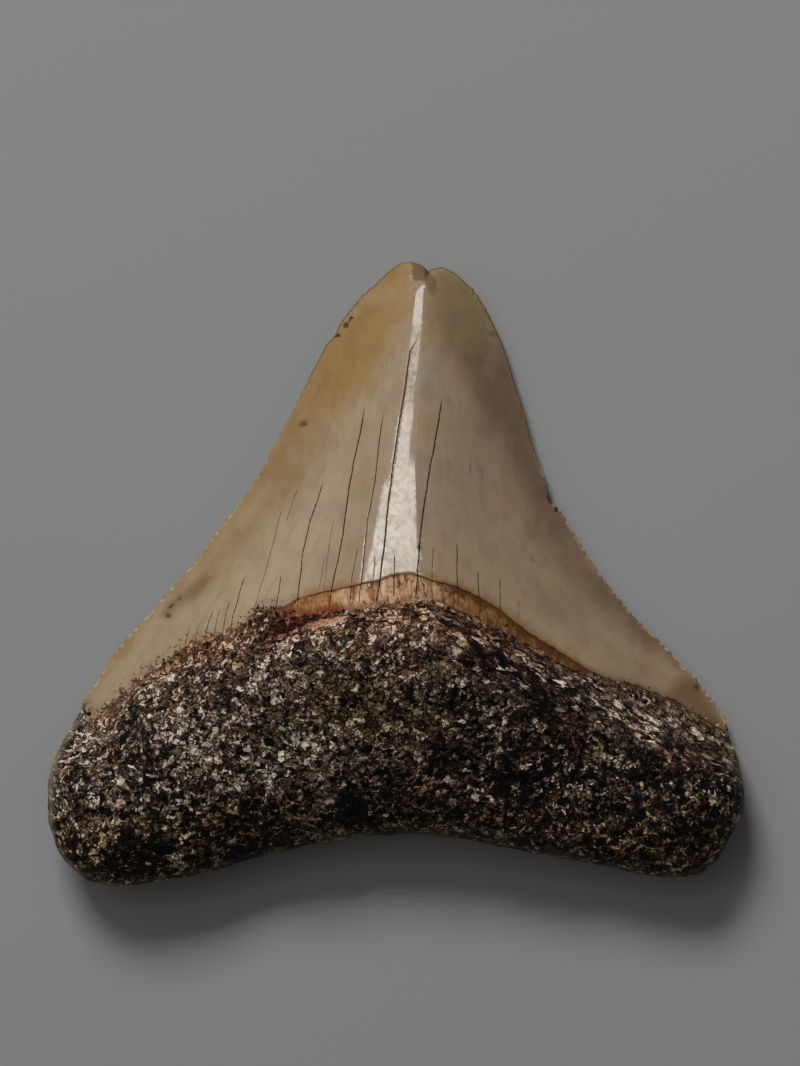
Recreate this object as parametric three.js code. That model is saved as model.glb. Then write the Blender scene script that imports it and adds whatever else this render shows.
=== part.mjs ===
// Fossil shark tooth, grown as one piece: a triangular blade of enamel on a thick, porous, two-lobed root.
// It lies on its flat outer face with the bulging inner face up. Millimetres: X runs across the root,
// Y from the root up to the tip, Z up from the surface that it lies on.
import * as THREE from 'three'
import { ConvexHull } from 'three/addons/math/ConvexHull.js'

// Outline, seen from above: from the tip down the left cutting edge, around the root, and up the right edge
const LEFT_EDGE = [
  [0.6, 44.6], [-1.0, 43.5], [-2.6, 42.0], [-5.4, 39.2], [-7.7, 36.3], [-10.4, 32.1], [-12.6, 27.8],
  [-14.7, 23.5], [-17.1, 19.2], [-19.3, 14.9], [-22.1, 10.6], [-25.4, 6.4], [-28.5, 2.1], [-32.3, -2.2],
  [-36.1, -6.5], [-39.9, -10.8], [-42.6, -15.0], [-44.9, -18.3],
]
const ROOT_RIM = [
  [-44.9, -18.3], [-46.5, -20.8], [-48.2, -23.7], [-49.4, -26.5], [-50.1, -29.5], [-50.2, -32.2],
  [-50.1, -35.1], [-49.3, -37.9], [-47.9, -40.6], [-46.0, -42.6], [-42.9, -44.2], [-38.0, -44.6],
  [-28.7, -43.1], [-21.6, -41.1], [-15.0, -39.5], [-9.6, -38.6], [-5.3, -37.8], [0.4, -37.4], [4.0, -37.4],
  [9.0, -37.9], [14.7, -39.0], [25.7, -41.2], [32.6, -42.6], [37.7, -43.4], [41.7, -43.4], [44.2, -42.4],
  [46.6, -39.9], [48.4, -36.8], [49.6, -34.4], [50.0, -31.6], [49.7, -28.6], [49.1, -26.0], [48.0, -23.5],
  [46.9, -20.8],
]
const RIGHT_EDGE = [
  [46.9, -20.8], [44.9, -17.9], [42.9, -15.1], [38.7, -10.8], [34.2, -6.5], [30.6, -2.2], [27.5, 2.1],
  [24.9, 6.4], [22.5, 10.6], [20.6, 14.9], [19.1, 19.2], [18.0, 23.5], [16.6, 27.8], [15.3, 32.1],
  [13.4, 36.4], [11.9, 39.2], [9.5, 42.1], [7.9, 43.4],
]
const TIP_NOTCH = [[6.4, 44.0], [5.3, 43.8], [4.5, 43.4], [3.5, 44.3], [2.1, 44.75]]

// Lower ends of the enamel and the start of the rough root, as heights along Y for each X
const INNER_ENAMEL_LINE = [
  [-46.0, -18.4], [-44.8, -18.6], [-44.3, -21.4], [-42.9, -20.8], [-40.4, -18.2], [-37.7, -15.5],
  [-35.3, -13.8], [-31.6, -11.5], [-29.1, -9.4], [-24.0, -8.5], [-21.6, -6.6], [-19.6, -4.7], [-15.9, -4.5],
  [-13.9, -3.4], [-10.9, -2.6], [-5.6, -1.4], [-2.4, -0.8], [-0.4, 0.0], [2.0, 0.2], [5.4, -0.9], [8.3, -1.6],
  [11.6, -3.2], [14.6, -4.9], [17.9, -7.7], [20.7, -9.5], [23.4, -11.1], [26.7, -13.3], [30.0, -14.8],
  [33.3, -15.5], [36.6, -16.8], [39.9, -18.1], [43.1, -20.2], [46.4, -22.2], [50.0, -22.4],
]
const INNER_ROOT_LINE = [
  [-46.0, -19.0], [-44.8, -19.2], [-44.3, -22.0], [-40.4, -18.8], [-35.3, -14.4], [-29.1, -10.0],
  [-24.0, -9.1], [-21.6, -7.2], [-19.6, -5.7], [-13.9, -5.9], [-9.4, -5.2], [-4.1, -4.5], [-0.4, -3.9],
  [4.9, -3.5], [8.0, -4.5], [11.0, -5.9], [14.6, -7.4], [18.4, -9.5], [23.0, -12.3], [26.7, -14.4],
  [33.3, -16.4], [39.9, -18.9], [46.4, -22.8], [50.0, -23.0],
]
const OUTER_ENAMEL_LINE = [
  [-50.0, -18.4], [-44.9, -18.6], [-38.0, -18.2], [-28.0, -16.0], [-16.0, -13.4], [0.0, -12.6],
  [16.0, -14.0], [28.0, -17.0], [38.0, -20.0], [46.5, -21.2], [50.0, -21.4],
]

// Heights above the surface
const CROWN_RIDGE = [
  [-24.0, 17.6], [-12.0, 17.0], [-4.0, 16.2], [4.0, 14.9], [14.0, 12.9], [24.0, 10.5], [32.0, 8.3],
  [38.0, 6.3], [42.0, 4.6], [45.0, 3.1],
]
const CUTTING_EDGE_Z = 1.7
const TIP_EDGE_Z = 2.25
const TIP_UNDERSIDE_Z = 1.1
const TIP_CURVE_Y = [30, 45]
const ROOT_RIM_Z = 5.4
const ROOT_RIM_Y = [-19, -31]
const LOBE_THICKNESS = 12.6
const BULGE_HEIGHT = 9.2
const BULGE_CENTRE = [1.0, -11.5]
const BULGE_REACH = [25, 15.5]
const ENAMEL_LEDGE = 0.35
const ROOT_LIP = 0.75
const LABIAL_RECESS = 0.5
const LABIAL_WAVE = 0.4
const LABIAL_WAVE_SIZE = 9
const RIM_WAVE = 0.9
const RIM_WAVE_SIZE = 11

// Shape of the cross-sections
const CROWN_SWELL = 1.9
const BLADE_THINNING = 1.15
const UNDERSIDE_FLATNESS = 7
const TOP_RIM_WIDTH = 13
const BOTTOM_RIM_WIDTH = 5.5
const ROOT_BLEND = 8.5
const UNDERSIDE_BLEND = 1.5
const LEDGE_FADE = 2
const FLAT_REGION = { x: 0, y: -1, across: 17, along: 12 }
const LOBE_PADS = [{ x: -36, y: -32, radius: 3.4 }, { x: 36, y: -31.5, radius: 3.6 }]
const LOBE_PAD_FADE = 3.2

// Serrations, nicks and the chip beside the tip
const SERRATION_PITCH = 1.1
const SERRATION_DEPTH = 0.24
const SERRATION_VARIATION = 0.3
const SERRATION_TOP_Y = 41
const NICKS = [
  { x: -8.9, y: 34.4, reach: 1.1, depth: 0.35 }, { x: 22.3, y: 10.9, reach: 1.6, depth: 0.55 },
  { x: 41.0, y: -13.2, reach: 1.0, depth: 0.35 }, { x: 43.4, y: -15.9, reach: 0.9, depth: 0.4 },
]
const TIP_CHIP = { x: 3.2, y: 43.2, across: 1.3, along: 2.2, depth: 0.7 }

// Lumps, pits and streaks of the root
const LUMPS = [{ size: 8.5, height: 0.55 }, { size: 4.2, height: 0.42 }, { size: 2.2, height: 0.3 }]
const LUMP_SHIFT = 17
const LOWEST_ROOT_Z = 0.05
const RIM_LUMP_SHARE = 0.3
const UNDERSIDE_LUMP_SHARE = 0.35
const LUMP_FADE = 2.5
const STREAK_SIZE = [6.5, 1.5]
const STREAK_HEIGHT = 0.32
const STREAK_Y = [-30, -36]
const STREAK_X = [34, 24]
const PITS = [
  { x: 16.0, y: -29.2, radius: 2.9, depth: 1.0 }, { x: -5.6, y: -33.6, radius: 2.4, depth: 0.8 },
  { x: -22.0, y: -36.8, radius: 2.6, depth: 0.8 }, { x: -27.0, y: -25.5, radius: 1.9, depth: 0.7 },
  { x: 36.5, y: -29.5, radius: 2.2, depth: 0.8 }, { x: 6.5, y: -20.0, radius: 1.7, depth: 0.6 },
  { x: -37.5, y: -22.5, radius: 1.8, depth: 0.6 }, { x: 27.0, y: -35.0, radius: 2.1, depth: 0.7 },
  { x: -12.5, y: -19.5, radius: 1.6, depth: 0.55 }, { x: 24.0, y: -21.0, radius: 1.7, depth: 0.6 },
]

// Spacing of the points that carry the surface
const ROOT_EDGE_STEP = 1.4
const TOP_ROOT_STEP = 1.28
const TOP_CROWN_STEP = 1.95
const BOTTOM_ROOT_STEP = 1.8
const BOTTOM_CROWN_STEP = 2.6
const LINE_STEP = 1
const LINE_HALF_GAP = 0.34
const LINE_GAP = 0.5
const LINE_INSET = 0.9
const RING_GAP = 0.33
const RING_DEPTH_KEPT = 0.86
const LATTICE_GAP = 0.72
const LATTICE_JITTER = 0.16
const LATTICE_CORNER = [-52, -46]
const LATTICE_SIZE = [104, 92]
const TOP_RINGS = { crown: [0.85], root: [0.4, 1.5, 2.9] }
const BOTTOM_RINGS = { crown: [0.85, 2.5], root: [0.6, 2.2] }

const clamp01 = (t) => Math.min(1, Math.max(0, t))
const mix = (a, b, t) => a + (b - a) * t

function smoothstep(from, to, value) {
  const t = clamp01((value - from) / (to - from))
  return t * t * (3 - 2 * t)
}

// Height of a line of [x, y] points at a given x
function lineAt(line, x) {
  for (let i = 1; i < line.length; i++) {
    if (x <= line[i][0] || i === line.length - 1) {
      const [x0, y0] = line[i - 1]
      const [x1, y1] = line[i]
      return mix(y0, y1, clamp01((x - x0) / (x1 - x0)))
    }
  }
}

function distanceToSegment(x, y, [x0, y0], [x1, y1]) {
  const dx = x1 - x0
  const dy = y1 - y0
  const t = clamp01(((x - x0) * dx + (y - y0) * dy) / (dx * dx + dy * dy))
  return Math.hypot(x - x0 - t * dx, y - y0 - t * dy)
}

// How far a point lies below a line, negative above it
function below(line, x, y) {
  let away = Infinity
  for (let i = 1; i < line.length; i++) away = Math.min(away, distanceToSegment(x, y, line[i - 1], line[i]))
  return y < lineAt(line, x) ? away : -away
}

// Repeatable value from -1 to 1 for a lattice cell
function cellValue(i, j) {
  let h = Math.imul(i, 374761393) + Math.imul(j, 668265263)
  h = Math.imul(h ^ (h >>> 13), 1274126177)
  return ((h ^ (h >>> 16)) >>> 0) / 2147483648 - 1
}

// Smooth noise from -1 to 1 with bumps about as wide as the unit, on a lattice turned to hide its rows
function bumps(px, py) {
  const x = 0.8 * px + 0.6 * py
  const y = 0.8 * py - 0.6 * px
  const i = Math.floor(x)
  const j = Math.floor(y)
  const u = smoothstep(0, 1, x - i)
  const v = smoothstep(0, 1, y - j)
  const low = mix(cellValue(i, j), cellValue(i + 1, j), u)
  const high = mix(cellValue(i, j + 1), cellValue(i + 1, j + 1), u)
  return mix(low, high, v)
}

// The outline as one closed ring, with a test for its root stretch
function makeOutline() {
  const spaced = (points, step) => {
    const curve = new THREE.SplineCurve(points.map(([x, y]) => new THREE.Vector2(x, y)))
    return curve.getSpacedPoints(Math.round(curve.getLength() / step))
  }
  const left = spaced(LEFT_EDGE, SERRATION_PITCH)
  const root = spaced(ROOT_RIM, ROOT_EDGE_STEP)
  const right = spaced(RIGHT_EDGE, SERRATION_PITCH)
  const notch = TIP_NOTCH.map(([x, y]) => new THREE.Vector2(x, y))
  const ring = [...left, ...root.slice(1), ...right.slice(1), ...notch]
  const rootStart = left.length - 1
  const rootEnd = rootStart + root.length - 1
  return { ring, isRoot: (i) => i > rootStart && i < rootEnd }
}

// Unit vector pointing into the outline at one of its points
function inward(ring, i) {
  const before = ring[(i + ring.length - 1) % ring.length]
  const after = ring[(i + 1) % ring.length]
  const along = after.clone().sub(before).normalize()
  return new THREE.Vector2(-along.y, along.x)
}

function cutNicks(ring) {
  return ring.map((point, i) => {
    const depths = NICKS.map(({ x, y, reach, depth }) => {
      return depth * smoothstep(reach, 0, Math.hypot(point.x - x, point.y - y))
    })
    return point.clone().addScaledVector(inward(ring, i), Math.max(...depths))
  })
}

function distanceToRing(ring, x, y) {
  let best = Infinity
  for (let i = 0; i < ring.length; i++) {
    best = Math.min(best, distanceToSegment(x, y, ring[i].toArray(), ring[(i + 1) % ring.length].toArray()))
  }
  return best
}

function isInside(ring, x, y) {
  let inside = false
  for (let i = 0, j = ring.length - 1; i < ring.length; j = i++) {
    const a = ring[i]
    const b = ring[j]
    if (a.y > y !== b.y > y && x < ((b.x - a.x) * (y - a.y)) / (b.y - a.y) + a.x) inside = !inside
  }
  return inside
}

// Left and right cutting edges at one height along the blade
function edgesAt(y) {
  const flip = ([x, level]) => [level, x]
  const left = LEFT_EDGE.map(flip).reverse()
  const right = RIGHT_EDGE.map(flip)
  return [lineAt(left, y), lineAt(right, y)]
}

// Place across the blade: -1 on the left cutting edge, 0 on the ridge, 1 on the right edge
function acrossBlade(x, y) {
  const [left, right] = edgesAt(y)
  return Math.max(-1, Math.min(1, (x - (left + right) / 2) / ((right - left) / 2)))
}

function edgeHeight(y) {
  return mix(CUTTING_EDGE_Z, TIP_EDGE_Z, smoothstep(...TIP_CURVE_Y, y))
}

// Height of the rim that joins the upper and the lower face, all around the outline
function rimHeight(x, y) {
  const rootRim = ROOT_RIM_Z + RIM_WAVE * bumps(x / RIM_WAVE_SIZE, y / RIM_WAVE_SIZE)
  return mix(edgeHeight(y), rootRim, smoothstep(...ROOT_RIM_Y, y))
}

function chipDepth(x, y) {
  const away = Math.hypot((x - TIP_CHIP.x) / TIP_CHIP.across, (y - TIP_CHIP.y) / TIP_CHIP.along)
  return TIP_CHIP.depth * smoothstep(1, 0.55, away)
}

// Upper face: enamel blade, then the bourlette in a slight step, then the root
function upperHeight(x, y, inset) {
  const edge = edgeHeight(y)
  const across = Math.abs(acrossBlade(x, y))
  const swell = Math.pow(1 - Math.pow(across, CROWN_SWELL), BLADE_THINNING)
  const crown = mix(edge, lineAt(CROWN_RIDGE, y), swell) - chipDepth(x, y) * Math.min(1, inset)
  const bulgeX = (x - BULGE_CENTRE[0]) / BULGE_REACH[0]
  const bulgeY = (y - BULGE_CENTRE[1]) / BULGE_REACH[1]
  const thickness = LOBE_THICKNESS + BULGE_HEIGHT * Math.exp(-bulgeX * bulgeX - bulgeY * bulgeY)
  const roll = Math.sqrt(1 - Math.pow(1 - clamp01(inset / TOP_RIM_WIDTH), 2))
  const root = mix(rimHeight(x, y), thickness, roll)
  const pastEnamel = below(INNER_ENAMEL_LINE, x, y)
  const pastLip = below(INNER_ROOT_LINE, x, y)
  const body = mix(crown, root, smoothstep(0, ROOT_BLEND, pastEnamel))
  const ledge = ENAMEL_LEDGE * smoothstep(-LINE_HALF_GAP, LINE_HALF_GAP, pastEnamel)
  const lip = ROOT_LIP * smoothstep(-LINE_HALF_GAP, LINE_HALF_GAP, pastLip)
  return body + (lip - ledge) * smoothstep(0, LEDGE_FADE, inset)
}

// Lower face: flat where it carries the tooth, rolled up to the rim, and slightly hollow under the root
function lowerHeight(x, y, inset) {
  const flatX = (x - FLAT_REGION.x) / FLAT_REGION.across
  const flatY = (y - FLAT_REGION.y) / FLAT_REGION.along
  const pastEnamel = below(OUTER_ENAMEL_LINE, x, y)
  if (Math.hypot(flatX, flatY) < 1 && pastEnamel < 0) return 0
  const across = Math.abs(acrossBlade(x, y))
  const blade = edgeHeight(y) * Math.pow(across, UNDERSIDE_FLATNESS)
  const tip = TIP_UNDERSIDE_Z * smoothstep(...TIP_CURVE_Y, y)
  const crown = Math.min(edgeHeight(y), Math.max(blade, tip))
  const roll = 1 - Math.sqrt(1 - Math.pow(1 - clamp01(inset / BOTTOM_RIM_WIDTH), 2))
  let hollow = LABIAL_RECESS + LABIAL_WAVE * (1 + bumps(x / LABIAL_WAVE_SIZE, y / LABIAL_WAVE_SIZE))
  for (const pad of LOBE_PADS) {
    hollow *= smoothstep(pad.radius, LOBE_PAD_FADE * pad.radius, Math.hypot(x - pad.x, y - pad.y))
  }
  const root = mix(hollow, rimHeight(x, y), roll)
  const rootShare = smoothstep(-LINE_HALF_GAP, UNDERSIDE_BLEND, pastEnamel)
  return mix(crown, root, rootShare * smoothstep(0, UNDERSIDE_BLEND, inset))
}

// Points on one face: rings just inside the outline, rows along the enamel lines, then an even lattice
function scatter(ring, isRoot, spec) {
  const points = ring.map((point) => ({ x: point.x, y: point.y }))
  const isClear = (x, y, gap) => {
    return isInside(ring, x, y) && points.every((point) => Math.hypot(point.x - x, point.y - y) >= gap)
  }
  ring.forEach((point, i) => {
    for (const inset of isRoot(i) ? spec.rings.root : spec.rings.crown) {
      const at = point.clone().addScaledVector(inward(ring, i), inset)
      const isDeep = distanceToRing(ring, at.x, at.y) > RING_DEPTH_KEPT * inset
      if (isDeep && isClear(at.x, at.y, RING_GAP)) points.push({ x: at.x, y: at.y })
    }
  })
  for (const line of spec.lines) {
    for (let x = line[0][0]; x < line[line.length - 1][0]; x += LINE_STEP) {
      for (const side of [-1, 1]) {
        const y = lineAt(line, x) - side * LINE_HALF_GAP
        if (isClear(x, y, LINE_GAP) && distanceToRing(ring, x, y) > LINE_INSET) points.push({ x, y })
      }
    }
  }
  for (const zone of spec.zones) {
    const rise = (zone.step * Math.sqrt(3)) / 2
    for (let j = 0; j * rise < LATTICE_SIZE[1]; j++) {
      for (let i = 0; i * zone.step < LATTICE_SIZE[0]; i++) {
        const x = LATTICE_CORNER[0] + (i + (j % 2) / 2 + LATTICE_JITTER * cellValue(i, j)) * zone.step
        const y = LATTICE_CORNER[1] + (j + LATTICE_JITTER * cellValue(-j, i)) * rise
        const isInZone = below(spec.lines[0], x, y) > 0 === zone.isRoot
        if (isInZone && isClear(x, y, LATTICE_GAP * zone.step)) points.push({ x, y })
      }
    }
  }
  return points
}

// Delaunay triangles of flat points: the lower hull of the points lifted onto a bowl
function triangulate(points, ring) {
  const lifted = points.map(({ x, y }) => new THREE.Vector3(x, y, x * x + y * y))
  const order = new Map(lifted.map((point, i) => [point, i]))
  const triangles = []
  for (const face of new ConvexHull().setFromPoints(lifted).faces) {
    if (face.normal.z >= 0) continue
    const corners = [0, 1, 2].map((k) => order.get(face.getEdge(k).head().point))
    const [a, b, c] = corners.map((k) => points[k])
    if (!isInside(ring, (a.x + b.x + c.x) / 3, (a.y + b.y + c.y) / 3)) continue
    const turn = (b.x - a.x) * (c.y - a.y) - (b.y - a.y) * (c.x - a.x)
    triangles.push(turn > 0 ? corners : [corners[0], corners[2], corners[1]])
  }
  if (new Set(triangles.flat()).size !== points.length) throw new Error('A surface point was left out')
  return triangles
}

// Splits the outline's edges along the blade, and lifts each new point out as a serration
function serrate(vertices, triangles, ring, isRoot) {
  const tips = new Map()
  ring.forEach((point, i) => {
    const next = (i + 1) % ring.length
    const middle = point.clone().add(ring[next]).multiplyScalar(0.5)
    const isNicked = NICKS.some((nick) => Math.hypot(middle.x - nick.x, middle.y - nick.y) < nick.reach)
    const isBlade = !isRoot(i) && !isRoot(next) && middle.y < SERRATION_TOP_Y
    if (!isBlade || isNicked) return
    const depth = SERRATION_DEPTH * (1 + SERRATION_VARIATION * cellValue(i, 0))
    middle.addScaledVector(inward(ring, i), -depth)
    tips.set(`${i},${next}`, vertices.push([middle.x, middle.y, rimHeight(middle.x, middle.y)]) - 1)
  })
  return triangles.flatMap(([a, b, c]) => {
    for (const [p, q, r] of [[a, b, c], [b, c, a], [c, a, b]]) {
      const tip = tips.get(`${p},${q}`) ?? tips.get(`${q},${p}`)
      if (tip !== undefined) return [[p, tip, r], [tip, q, r]]
    }
    return [[a, b, c]]
  })
}

// Lumps, pits and streaks stand out from the smooth root along its own surface
function roughenRoot(geometry, ring) {
  const place = geometry.attributes.position
  const facing = geometry.attributes.normal
  for (let i = 0; i < place.count; i++) {
    const at = new THREE.Vector3().fromBufferAttribute(place, i)
    const out = new THREE.Vector3().fromBufferAttribute(facing, i)
    const isUpper = out.z > 0 || at.z > ROOT_RIM_Z
    const line = isUpper ? INNER_ROOT_LINE : OUTER_ENAMEL_LINE
    const inset = distanceToRing(ring, at.x, at.y)
    const faceShare = isUpper ? 1 : UNDERSIDE_LUMP_SHARE
    const rootShare = smoothstep(0, LUMP_FADE / 2, below(line, at.x, at.y))
    const share = rootShare * mix(RIM_LUMP_SHARE, faceShare, smoothstep(0, LUMP_FADE, inset))
    if (share === 0 || at.z === 0) continue
    let height = 0
    LUMPS.forEach(({ size, height: lump }, k) => {
      height += lump * bumps(at.x / size + LUMP_SHIFT * k, (at.y + at.z) / size - LUMP_SHIFT * k)
    })
    const streaky = smoothstep(...STREAK_Y, at.y) * smoothstep(...STREAK_X, Math.abs(at.x))
    height += STREAK_HEIGHT * streaky * bumps(at.x / STREAK_SIZE[0], (at.y + at.z) / STREAK_SIZE[1])
    for (const pit of PITS) {
      const away = Math.hypot(at.x - pit.x, at.y - pit.y)
      if (isUpper) height -= pit.depth * smoothstep(pit.radius, 0.3 * pit.radius, away)
    }
    at.addScaledVector(out, height * share)
    place.setXYZ(i, at.x, at.y, Math.max(at.z, LOWEST_ROOT_Z))
  }
}

function makeTooth() {
  const { ring: plainRing, isRoot } = makeOutline()
  const ring = cutNicks(plainRing)
  const upperPoints = scatter(ring, isRoot, {
    rings: TOP_RINGS,
    lines: [INNER_ENAMEL_LINE, INNER_ROOT_LINE],
    zones: [{ isRoot: true, step: TOP_ROOT_STEP }, { isRoot: false, step: TOP_CROWN_STEP }],
  })
  const lowerPoints = scatter(ring, isRoot, {
    rings: BOTTOM_RINGS,
    lines: [OUTER_ENAMEL_LINE],
    zones: [{ isRoot: true, step: BOTTOM_ROOT_STEP }, { isRoot: false, step: BOTTOM_CROWN_STEP }],
  })
  const vertices = ring.map(({ x, y }) => [x, y, rimHeight(x, y)])
  const addFace = (points, heightAt) => {
    const start = vertices.length - ring.length
    for (const { x, y } of points.slice(ring.length)) {
      vertices.push([x, y, heightAt(x, y, distanceToRing(ring, x, y))])
    }
    return (i) => (i < ring.length ? i : i + start)
  }
  const upperIndex = addFace(upperPoints, upperHeight)
  const upper = triangulate(upperPoints, ring).map((corners) => corners.map(upperIndex))
  const lowerIndex = addFace(lowerPoints, lowerHeight)
  const lower = triangulate(lowerPoints, ring).map((corners) => corners.map(lowerIndex).reverse())
  const triangles = serrate(vertices, [...upper, ...lower], ring, isRoot)
  const geometry = new THREE.BufferGeometry()
  geometry.setAttribute('position', new THREE.Float32BufferAttribute(vertices.flat(), 3))
  geometry.setIndex(triangles.flat())
  geometry.computeVertexNormals()
  roughenRoot(geometry, ring)
  geometry.computeBoundingBox()
  const middle = geometry.boundingBox.getCenter(new THREE.Vector3())
  geometry.translate(-middle.x, -middle.y, 0)
  geometry.computeVertexNormals()
  return geometry
}

const fossil = new THREE.MeshStandardMaterial({ color: 0x6e5a46, roughness: 0.6, metalness: 0 })
const tooth = new THREE.Mesh(makeTooth(), fossil)
tooth.name = 'tooth'

const group = new THREE.Group()
group.add(tooth)

export default group
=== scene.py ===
import math

import bmesh
import bpy
import numpy as np
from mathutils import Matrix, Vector, kdtree, noise


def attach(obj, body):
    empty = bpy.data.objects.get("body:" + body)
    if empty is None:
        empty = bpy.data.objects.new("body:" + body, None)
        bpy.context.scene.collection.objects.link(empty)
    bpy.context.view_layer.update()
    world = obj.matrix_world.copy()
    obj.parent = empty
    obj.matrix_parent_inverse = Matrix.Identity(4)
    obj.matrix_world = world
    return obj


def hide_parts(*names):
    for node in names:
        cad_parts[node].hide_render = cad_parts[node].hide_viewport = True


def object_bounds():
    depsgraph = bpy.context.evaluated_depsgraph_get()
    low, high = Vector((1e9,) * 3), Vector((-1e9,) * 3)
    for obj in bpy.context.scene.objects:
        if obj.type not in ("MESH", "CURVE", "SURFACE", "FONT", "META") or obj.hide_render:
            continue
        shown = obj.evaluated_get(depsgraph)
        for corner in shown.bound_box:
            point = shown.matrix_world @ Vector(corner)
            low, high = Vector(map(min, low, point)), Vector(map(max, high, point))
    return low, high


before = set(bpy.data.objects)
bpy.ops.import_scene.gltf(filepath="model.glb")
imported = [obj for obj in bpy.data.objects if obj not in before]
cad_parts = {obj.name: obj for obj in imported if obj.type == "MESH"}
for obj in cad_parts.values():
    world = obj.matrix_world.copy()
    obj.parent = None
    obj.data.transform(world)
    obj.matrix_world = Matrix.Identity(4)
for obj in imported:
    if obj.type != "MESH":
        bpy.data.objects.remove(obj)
cad_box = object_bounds()

# The body of the tooth
# A giant shark's tooth turned to stone, grown as one piece: a blade of enamel on a thick, porous, two-lobed
# root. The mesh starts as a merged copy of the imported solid, whose faces are cut finer and then smoothed.
MM = 0.001
LINE_SHIFT = np.array([0.13, 0.03])
ENAMEL_LINE = np.array([
    (-46.0, -18.4), (-44.8, -18.6), (-44.3, -21.4), (-42.9, -20.8), (-40.4, -18.2), (-37.7, -15.5),
    (-35.3, -13.8), (-31.6, -11.5), (-29.1, -9.4), (-24.0, -8.5), (-21.6, -6.6), (-19.6, -4.7),
    (-15.9, -4.5), (-13.9, -3.4), (-10.9, -2.6), (-5.6, -1.4), (-2.4, -0.8), (-0.4, 0.0), (2.0, 0.2),
    (5.4, -0.9), (8.3, -1.6), (11.6, -3.2), (14.6, -4.9), (17.9, -7.7), (20.7, -9.5), (23.4, -11.1),
    (26.7, -13.3), (30.0, -14.8), (33.3, -15.5), (36.6, -16.8), (39.9, -18.1), (43.1, -20.2),
    (46.4, -22.2), (50.0, -22.4),
]) + LINE_SHIFT
ROOT_CUTS = 4
CROWN_CUTS = 3
UNDERSIDE_CUTS = 1
FINE_MARGIN = 1.4
SMOOTHING_ROUNDS = 24
TIP_ROUNDS = 6
TIP_START = 37
FLAT_HEIGHT = 0.001
MERGE_DISTANCE = 0.001
WEAR_ROUNDS = 10
LEAST_WEAR = 0.12
ADDED_WEAR = 0.38
TIP_BREAK = 40
NICK_SIDE = 20
NICK_LOW = 7
NICK_HIGH = 13
ROOT_TOP = -22
MAP_GAP = 46
MAP_SPAN = 137 * math.sqrt(2)


def distance_to(places, line):
    """How far each (x, y) place is from a line of points."""
    step = np.diff(line, axis=0)
    away = places[:, None, :] - line[None, :-1]
    share = np.clip((away * step).sum(2) / (step * step).sum(1), 0, 1)
    return np.linalg.norm(away - share[..., None] * step, axis=2).min(1)


def distance_below(places, line):
    """How far each place lies below a line, negative above it."""
    side = np.where(places[:, 1] < np.interp(places[:, 0], line[:, 0], line[:, 1]), 1, -1)
    return side * distance_to(places, line)


def ease(low, high, values):
    """Smooth steps from 0 at low to 1 at high."""
    share = np.clip((np.asarray(values) - low) / (high - low), 0, 1)
    return share * share * (3 - 2 * share)


def places_of(items):
    """Places in millimetres, one row each."""
    return np.array([item.co for item in items]) / MM


tooth_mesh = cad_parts["tooth"].data.copy()
tooth_mesh.name = "fossil_tooth"
tooth_mesh.attributes.remove(tooth_mesh.attributes["custom_normal"])
shape = bmesh.new()
shape.from_mesh(tooth_mesh)
bmesh.ops.remove_doubles(shape, verts=shape.verts, dist=MERGE_DISTANCE * MM)

# Upper face and underside lie back to back on the map, turned by 45 degrees so that they fill the square
rim_mark = shape.edges.layers.int.new("rim")
uv_map = shape.loops.layers.uv.new("OFBake")
for face in shape.faces:
    turn = 1 if face.normal.z > 0 else -1
    for loop in face.loops:
        across = loop.vert.co.x / MM
        along = turn * (loop.vert.co.y / MM + MAP_GAP)
        loop[uv_map].uv = (0.5 + (along + across) / MAP_SPAN, 0.5 + (along - across) / MAP_SPAN)

middles = np.array([face.calc_center_median() for face in shape.faces]) / MM
upper_root, upper_crown, underside = set(), set(), set()
for face, past in zip(shape.faces, distance_below(middles[:, :2], ENAMEL_LINE)):
    zone = underside if face.normal.z < 0 else upper_root if past > -FINE_MARGIN else upper_crown
    zone.update(face.edges)
rim_edges = (upper_root | upper_crown) & underside
for edge in rim_edges:
    edge[rim_mark] = 1
for edges, cuts in [
    (upper_root, ROOT_CUTS),
    (upper_crown - upper_root, CROWN_CUTS),
    (underside - upper_root - upper_crown, UNDERSIDE_CUTS),
]:
    in_order = sorted(edges, key=lambda edge: edge.index)
    bmesh.ops.subdivide_edges(shape, edges=in_order, cuts=cuts, use_grid_fill=True)
bmesh.ops.triangulate(shape, faces=shape.faces)
rim_verts = {vert for edge in shape.edges if edge[rim_mark] for vert in edge.verts}

# The serrations are worn: softly near the root, and almost flat from there to the tip. The broken tip, the
# nick in the right edge and the root keep their shape.
for turn in range(WEAR_ROUNDS):
    targets = {}
    for vert in rim_verts:
        x, y, _ = vert.co / MM
        is_kept = y > TIP_BREAK or y < ROOT_TOP or (x > NICK_SIDE and NICK_LOW < y < NICK_HIGH)
        beside = [edge.other_vert(vert).co for edge in vert.link_edges if edge[rim_mark]]
        wear = LEAST_WEAR + ADDED_WEAR * float(ease(-10, 18, y))
        share = 0 if is_kept or len(beside) != 2 else wear
        targets[vert] = vert.co.lerp(sum(beside, Vector()) / max(1, len(beside)), share)
    for vert, target in targets.items():
        vert.co = target
rim_line = places_of(rim_verts)

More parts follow.
